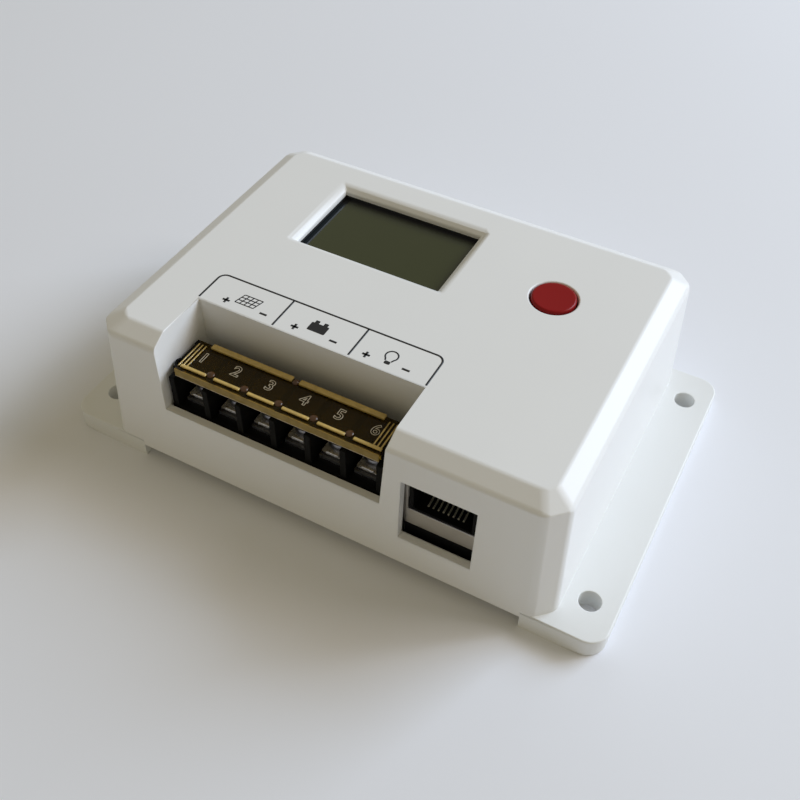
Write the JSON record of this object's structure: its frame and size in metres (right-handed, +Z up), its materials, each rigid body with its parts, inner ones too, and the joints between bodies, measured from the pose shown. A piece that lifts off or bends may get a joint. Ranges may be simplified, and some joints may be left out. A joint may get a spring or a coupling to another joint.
{
  "type": "solar charge controller",
  "caption": "Flanged white solar charge controller with a display window, a red push button, a recessed barrier terminal row under an amber strip, and a shielded data socket.",
  "frame": {"origin": "below the middle of the case, on the plane that the two feet stand on", "axes": "+X along the terminal side to the right, +Y from the terminal side to the back, +Z up out of the display face"},
  "size_m": [0.12, 0.075, 0.0343],
  "materials": {
    "case_plastic": "satin moulded white ABS",
    "base_plastic": "satin moulded white ABS",
    "zinc_steel": "bright zinc plated screws",
    "aluminium": "extruded, mill finish",
    "pad": "matt silicone",
    "black_epoxy": "moulded epoxy",
    "board": "green solder mask over glass fibre",
    "black_plastic": "black glass-filled PBT",
    "tinned_brass": "tin plated brass",
    "amber_plastic": "clear amber polycarbonate",
    "nickel": "nickel plated shield",
    "gold": "gold flashed contacts",
    "foam": "black foam",
    "display_film": "olive grey polariser over the liquid crystal",
    "glass": "polished",
    "clear_guide": "milky acrylic",
    "holder_plastic": "natural white plastic",
    "red_plastic": "satin dark red",
    "can_sleeve": "shrunk sleeve",
    "ferrite": "sintered ferrite",
    "fuse_plastic": "clear tinted",
    "sensor_epoxy": "dipped epoxy"
  },
  "bodies": {
    "case": {"top_cover": "case_plastic", "base_plate": "base_plastic", "case_screws": "zinc_steel", "heat_sink": "aluminium", "heat_sink_screws": "zinc_steel", "thermal_pads": "pad", "power_transistors": "black_epoxy", "transistor_screws": "zinc_steel", "main_board": "board", "board_screws": "zinc_steel", "terminal_block": "black_plastic", "terminal_contacts": "tinned_brass", "socket_shield": "nickel", "socket_housing": "black_plastic", "socket_contacts": "gold", "display_gasket": "foam", "front_polariser": "display_film", "display_glass": "glass", "rear_polariser": "display_film", "light_guide": "clear_guide", "display_holder": "holder_plastic", "display_pins": "tinned_brass", "switch_body": "black_plastic", "switch_cover": "nickel", "switch_dome": "nickel", "capacitors": "can_sleeve", "inductor": "ferrite", "battery_fuse": "fuse_plastic", "diodes": "black_epoxy", "shunt_resistors": "black_epoxy", "voltage_regulator": "black_epoxy", "microcontroller": "black_epoxy", "small_chips": "black_epoxy", "crystal": "nickel", "buzzer": "black_plastic", "temperature_sensor": "sensor_epoxy"},
    "button": {"button_cap": "red_plastic", "switch_plunger": "black_plastic"},
    "strip": {"terminal_cover": "amber_plastic"},
    "terminal_1": {"terminal_clamp_1": "tinned_brass", "terminal_screw_1": "zinc_steel"},
    "terminal_2": {"terminal_clamp_2": "tinned_brass", "terminal_screw_2": "zinc_steel"},
    "terminal_3": {"terminal_clamp_3": "tinned_brass", "terminal_screw_3": "zinc_steel"},
    "terminal_4": {"terminal_clamp_4": "tinned_brass", "terminal_screw_4": "zinc_steel"},
    "terminal_5": {"terminal_clamp_5": "tinned_brass", "terminal_screw_5": "zinc_steel"},
    "terminal_6": {"terminal_clamp_6": "tinned_brass", "terminal_screw_6": "zinc_steel"}
  },
  "joints": [
    {"name": "button_press", "type": "slide", "parent": "case", "child": "button", "axis": [0, 0, -1], "range_m": [0, 0.0004], "stiffness_N_per_m": 1500},
    {"name": "terminal_1_lift", "type": "slide", "parent": "case", "child": "terminal_1", "axis": [0, 0, 1], "range_m": [0, 0.003]},
    {"name": "terminal_2_lift", "type": "slide", "parent": "case", "child": "terminal_2", "axis": [0, 0, 1], "range_m": [0, 0.003]},
    {"name": "terminal_3_lift", "type": "slide", "parent": "case", "child": "terminal_3", "axis": [0, 0, 1], "range_m": [0, 0.003]},
    {"name": "terminal_4_lift", "type": "slide", "parent": "case", "child": "terminal_4", "axis": [0, 0, 1], "range_m": [0, 0.003]},
    {"name": "terminal_5_lift", "type": "slide", "parent": "case", "child": "terminal_5", "axis": [0, 0, 1], "range_m": [0, 0.003]},
    {"name": "terminal_6_lift", "type": "slide", "parent": "case", "child": "terminal_6", "axis": [0, 0, 1], "range_m": [0, 0.003]},
    {"name": "strip_lift", "type": "slide", "parent": "case", "child": "strip", "axis": [0, 0, 1], "range_m": [0, 0.014]}
  ]
}
